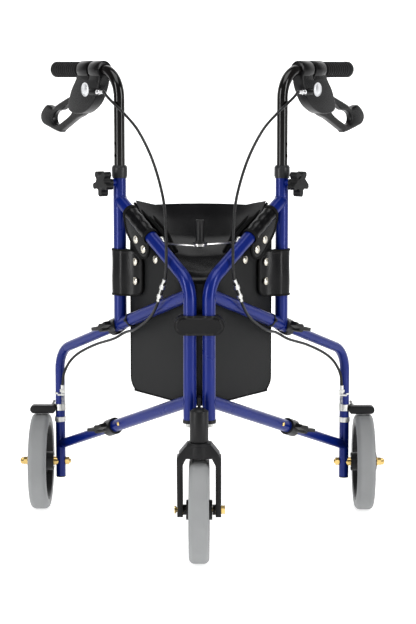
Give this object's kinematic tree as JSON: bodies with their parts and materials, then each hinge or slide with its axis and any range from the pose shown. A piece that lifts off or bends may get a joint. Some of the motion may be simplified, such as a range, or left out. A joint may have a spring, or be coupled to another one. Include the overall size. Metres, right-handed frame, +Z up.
{
  "type": "rollator walker",
  "caption": "Folding tri-wheel walking frame with blue tube side frames, black loop-brake handles, swivelling front caster, lock bars and a black shopping bag.",
  "frame": {"origin": "on the floor, under the middle of the walker's box", "axes": "+Z up, -Y forwards (the caster is at the front), +X to the user's left when the user stands behind and looks forwards is the walker's own left side"},
  "size_m": [0.6878, 0.5412, 0.84],
  "materials": {
    "black_plastic": "matte moulded",
    "fork_plastic": "matte moulded",
    "collar_plastic": "satin moulded",
    "zinc": "bright zinc plated",
    "brass_bolt": "yellow zinc plated",
    "tyre_rubber": "smooth grey non-marking",
    "hub_plastic": "moulded",
    "bearing_steel": "ground",
    "bag_vinyl": "coated woven polyester, slightly glossy",
    "bag_board": "matte stiffened panel",
    "frame_paint": "gloss metallic blue powder coat",
    "handle_enamel": "gloss black",
    "grip_rubber": "soft ribbed",
    "cable_jacket": "satin sheath",
    "brake_enamel": "satin black",
    "bar_steel": "zinc plated strip"
  },
  "bodies": {
    "root": {"hinge_yoke": "black_plastic", "caster_bracket": "black_plastic", "hinge_bolts": "zinc", "bag_shell": "bag_vinyl", "bag_flap": "bag_vinyl"},
    "caster": {"fork": "fork_plastic", "front_axle": "brass_bolt"},
    "front_wheel": {"front_tyre": "tyre_rubber", "front_hub": "hub_plastic", "front_bearings": "bearing_steel"},
    "right_side": {"right_side_frame": "frame_paint", "right_leg_frame": "frame_paint", "right_leg_plug": "black_plastic", "right_height_collar": "collar_plastic", "right_arm_collars": "collar_plastic", "right_cable": "cable_jacket", "right_cable_adjusters": "zinc", "right_brake_bracket": "zinc", "right_brake_spring": "zinc", "right_axle": "brass_bolt", "right_bag_panel": "bag_board"},
    "right_handle": {"right_handle_tube": "handle_enamel", "right_grip": "grip_rubber", "right_brake_housing": "black_plastic"},
    "right_star_knob": {"right_star_knob": "black_plastic"},
    "right_upper_wing_knob": {"right_upper_wing_knob": "black_plastic"},
    "right_lower_wing_knob": {"right_lower_wing_knob": "black_plastic"},
    "right_snap_button": {"right_snap_button": "brass_bolt"},
    "right_brake_lever": {"right_brake_lever": "black_plastic"},
    "right_brake_arm": {"right_brake_arm": "brake_enamel"},
    "right_wheel": {"right_tyre": "tyre_rubber", "right_hub": "hub_plastic", "right_wheel_bearings": "bearing_steel"},
    "right_lock_link": {"right_lock_link": "bar_steel", "lock_handle": "black_plastic"},
    "left_side": {"left_side_frame": "frame_paint", "left_leg_frame": "frame_paint", "left_leg_plug": "black_plastic", "left_height_collar": "collar_plastic", "left_arm_collars": "collar_plastic", "left_cable": "cable_jacket", "left_cable_adjusters": "zinc", "left_brake_bracket": "zinc", "left_brake_spring": "zinc", "left_axle": "brass_bolt", "left_bag_panel": "bag_board"},
    "left_handle": {"left_handle_tube": "handle_enamel", "left_grip": "grip_rubber", "left_brake_housing": "black_plastic"},
    "left_star_knob": {"left_star_knob": "black_plastic"},
    "left_upper_wing_knob": {"left_upper_wing_knob": "black_plastic"},
    "left_lower_wing_knob": {"left_lower_wing_knob": "black_plastic"},
    "left_snap_button": {"left_snap_button": "brass_bolt"},
    "left_brake_lever": {"left_brake_lever": "black_plastic"},
    "left_brake_arm": {"left_brake_arm": "brake_enamel"},
    "left_wheel": {"left_tyre": "tyre_rubber", "left_hub": "hub_plastic", "left_wheel_bearings": "bearing_steel"},
    "left_lock_link": {"left_lock_link": "bar_steel"}
  },
  "joints": [
    {"name": "right_fold", "type": "hinge", "parent": "root", "child": "right_side", "pos_m": [-0.016, -0.15861, 0.401], "axis": [0, 0, -1], "range_deg": [0, 28], "deforming": ["bag_shell", "bag_flap"]},
    {"name": "right_lock_swing", "type": "hinge", "parent": "right_side", "child": "right_lock_link", "pos_m": [-0.06693, -0.05448, 0.526], "axis": [0, 0, -1], "range_deg": [0, 27.24]},
    {"name": "right_handle_height", "type": "slide", "parent": "right_side", "child": "right_handle", "axis": [0, 0, 1], "range_m": [-0.075, 0.075], "deforming": ["right_cable"]},
    {"name": "right_star_knob_turn", "type": "hinge", "parent": "right_side", "child": "right_star_knob", "pos_m": [-0.16652, -0.00564, 0.628], "axis": [0.8039, 0.5948, 0], "continuous": true},
    {"name": "right_upper_wing_knob_turn", "type": "hinge", "parent": "right_side", "child": "right_upper_wing_knob", "pos_m": [-0.17666, 0.00807, 0.37026], "axis": [0.8039, 0.5948, 0], "continuous": true},
    {"name": "right_lower_wing_knob_turn", "type": "hinge", "parent": "right_side", "child": "right_lower_wing_knob", "pos_m": [-0.18653, 0.02141, 0.18435], "axis": [0.8039, 0.5948, 0], "continuous": true},
    {"name": "right_snap_button_press", "type": "slide", "parent": "right_side", "child": "right_snap_button", "axis": [0.8039, 0.5948, 0], "range_m": [0, 0.003], "stiffness_N_per_m": 600},
    {"name": "right_brake_squeeze", "type": "hinge", "parent": "right_handle", "child": "right_brake_lever", "pos_m": [-0.19831, 0.08777, 0.789], "axis": [0.8039, 0.5948, 0], "range_deg": [0, 12], "stiffness_Nm_per_rad": 1.5, "springref_deg": -8.59},
    {"name": "right_brake_arm_swing", "type": "hinge", "parent": "right_side", "child": "right_brake_arm", "pos_m": [-0.28702, 0.20461, 0.194], "axis": [1, 0, 0], "range_deg": [0, 4]},
    {"name": "right_wheel_spin", "type": "hinge", "parent": "right_side", "child": "right_wheel", "pos_m": [-0.30401, 0.18061, 0.09], "axis": [1, 0, 0], "continuous": true},
    {"name": "left_fold", "type": "hinge", "parent": "root", "child": "left_side", "pos_m": [0.016, -0.15861, 0.401], "axis": [0, 0, 1], "range_deg": [0, 28]},
    {"name": "left_lock_swing", "type": "hinge", "parent": "left_side", "child": "left_lock_link", "pos_m": [0.06693, -0.05448, 0.526], "axis": [0, 0, 1], "range_deg": [0, 27.24]},
    {"name": "left_handle_height", "type": "slide", "parent": "left_side", "child": "left_handle", "axis": [0, 0, 1], "range_m": [-0.075, 0.075], "deforming": ["left_cable"]},
    {"name": "left_star_knob_turn", "type": "hinge", "parent": "left_side", "child": "left_star_knob", "pos_m": [0.16652, -0.00564, 0.628], "axis": [0.8039, -0.5948, 0], "continuous": true},
    {"name": "left_upper_wing_knob_turn", "type": "hinge", "parent": "left_side", "child": "left_upper_wing_knob", "pos_m": [0.17666, 0.00807, 0.37026], "axis": [0.8039, -0.5948, 0], "continuous": true},
    {"name": "left_lower_wing_knob_turn", "type": "hinge", "parent": "left_side", "child": "left_lower_wing_knob", "pos_m": [0.18653, 0.02141, 0.18435], "axis": [0.8039, -0.5948, 0], "continuous": true},
    {"name": "left_snap_button_press", "type": "slide", "parent": "left_side", "child": "left_snap_button", "axis": [-0.8039, 0.5948, 0], "range_m": [0, 0.003], "stiffness_N_per_m": 600},
    {"name": "left_brake_squeeze", "type": "hinge", "parent": "left_handle", "child": "left_brake_lever", "pos_m": [0.19831, 0.08777, 0.789], "axis": [0.8039, -0.5948, 0], "range_deg": [0, 12], "stiffness_Nm_per_rad": 1.5, "springref_deg": -8.59},
    {"name": "left_brake_arm_swing", "type": "hinge", "parent": "left_side", "child": "left_brake_arm", "pos_m": [0.28702, 0.20461, 0.194], "axis": [1, 0, 0], "range_deg": [0, 4]},
    {"name": "left_wheel_spin", "type": "hinge", "parent": "left_side", "child": "left_wheel", "pos_m": [0.30401, 0.18061, 0.09], "axis": [1, 0, 0], "continuous": true},
    {"name": "caster_swivel", "type": "hinge", "parent": "root", "child": "caster", "pos_m": [0, -0.19861, 0.211], "axis": [0, 0, 1], "continuous": true},
    {"name": "front_wheel_spin", "type": "hinge", "parent": "caster", "child": "front_wheel", "pos_m": [0, -0.18061, 0.09], "axis": [1, 0, 0], "continuous": true}
  ],
  "couplings": [
    {"joint": "right_lock_swing", "follows": "right_fold", "ratio": 0.955},
    {"joint": "right_brake_arm_swing", "follows": "right_brake_squeeze", "ratio": 0.3333},
    {"joint": "left_fold", "follows": "right_fold", "ratio": 1},
    {"joint": "left_lock_swing", "follows": "right_fold", "ratio": 0.955},
    {"joint": "left_brake_arm_swing", "follows": "left_brake_squeeze", "ratio": 0.3333}
  ]
}
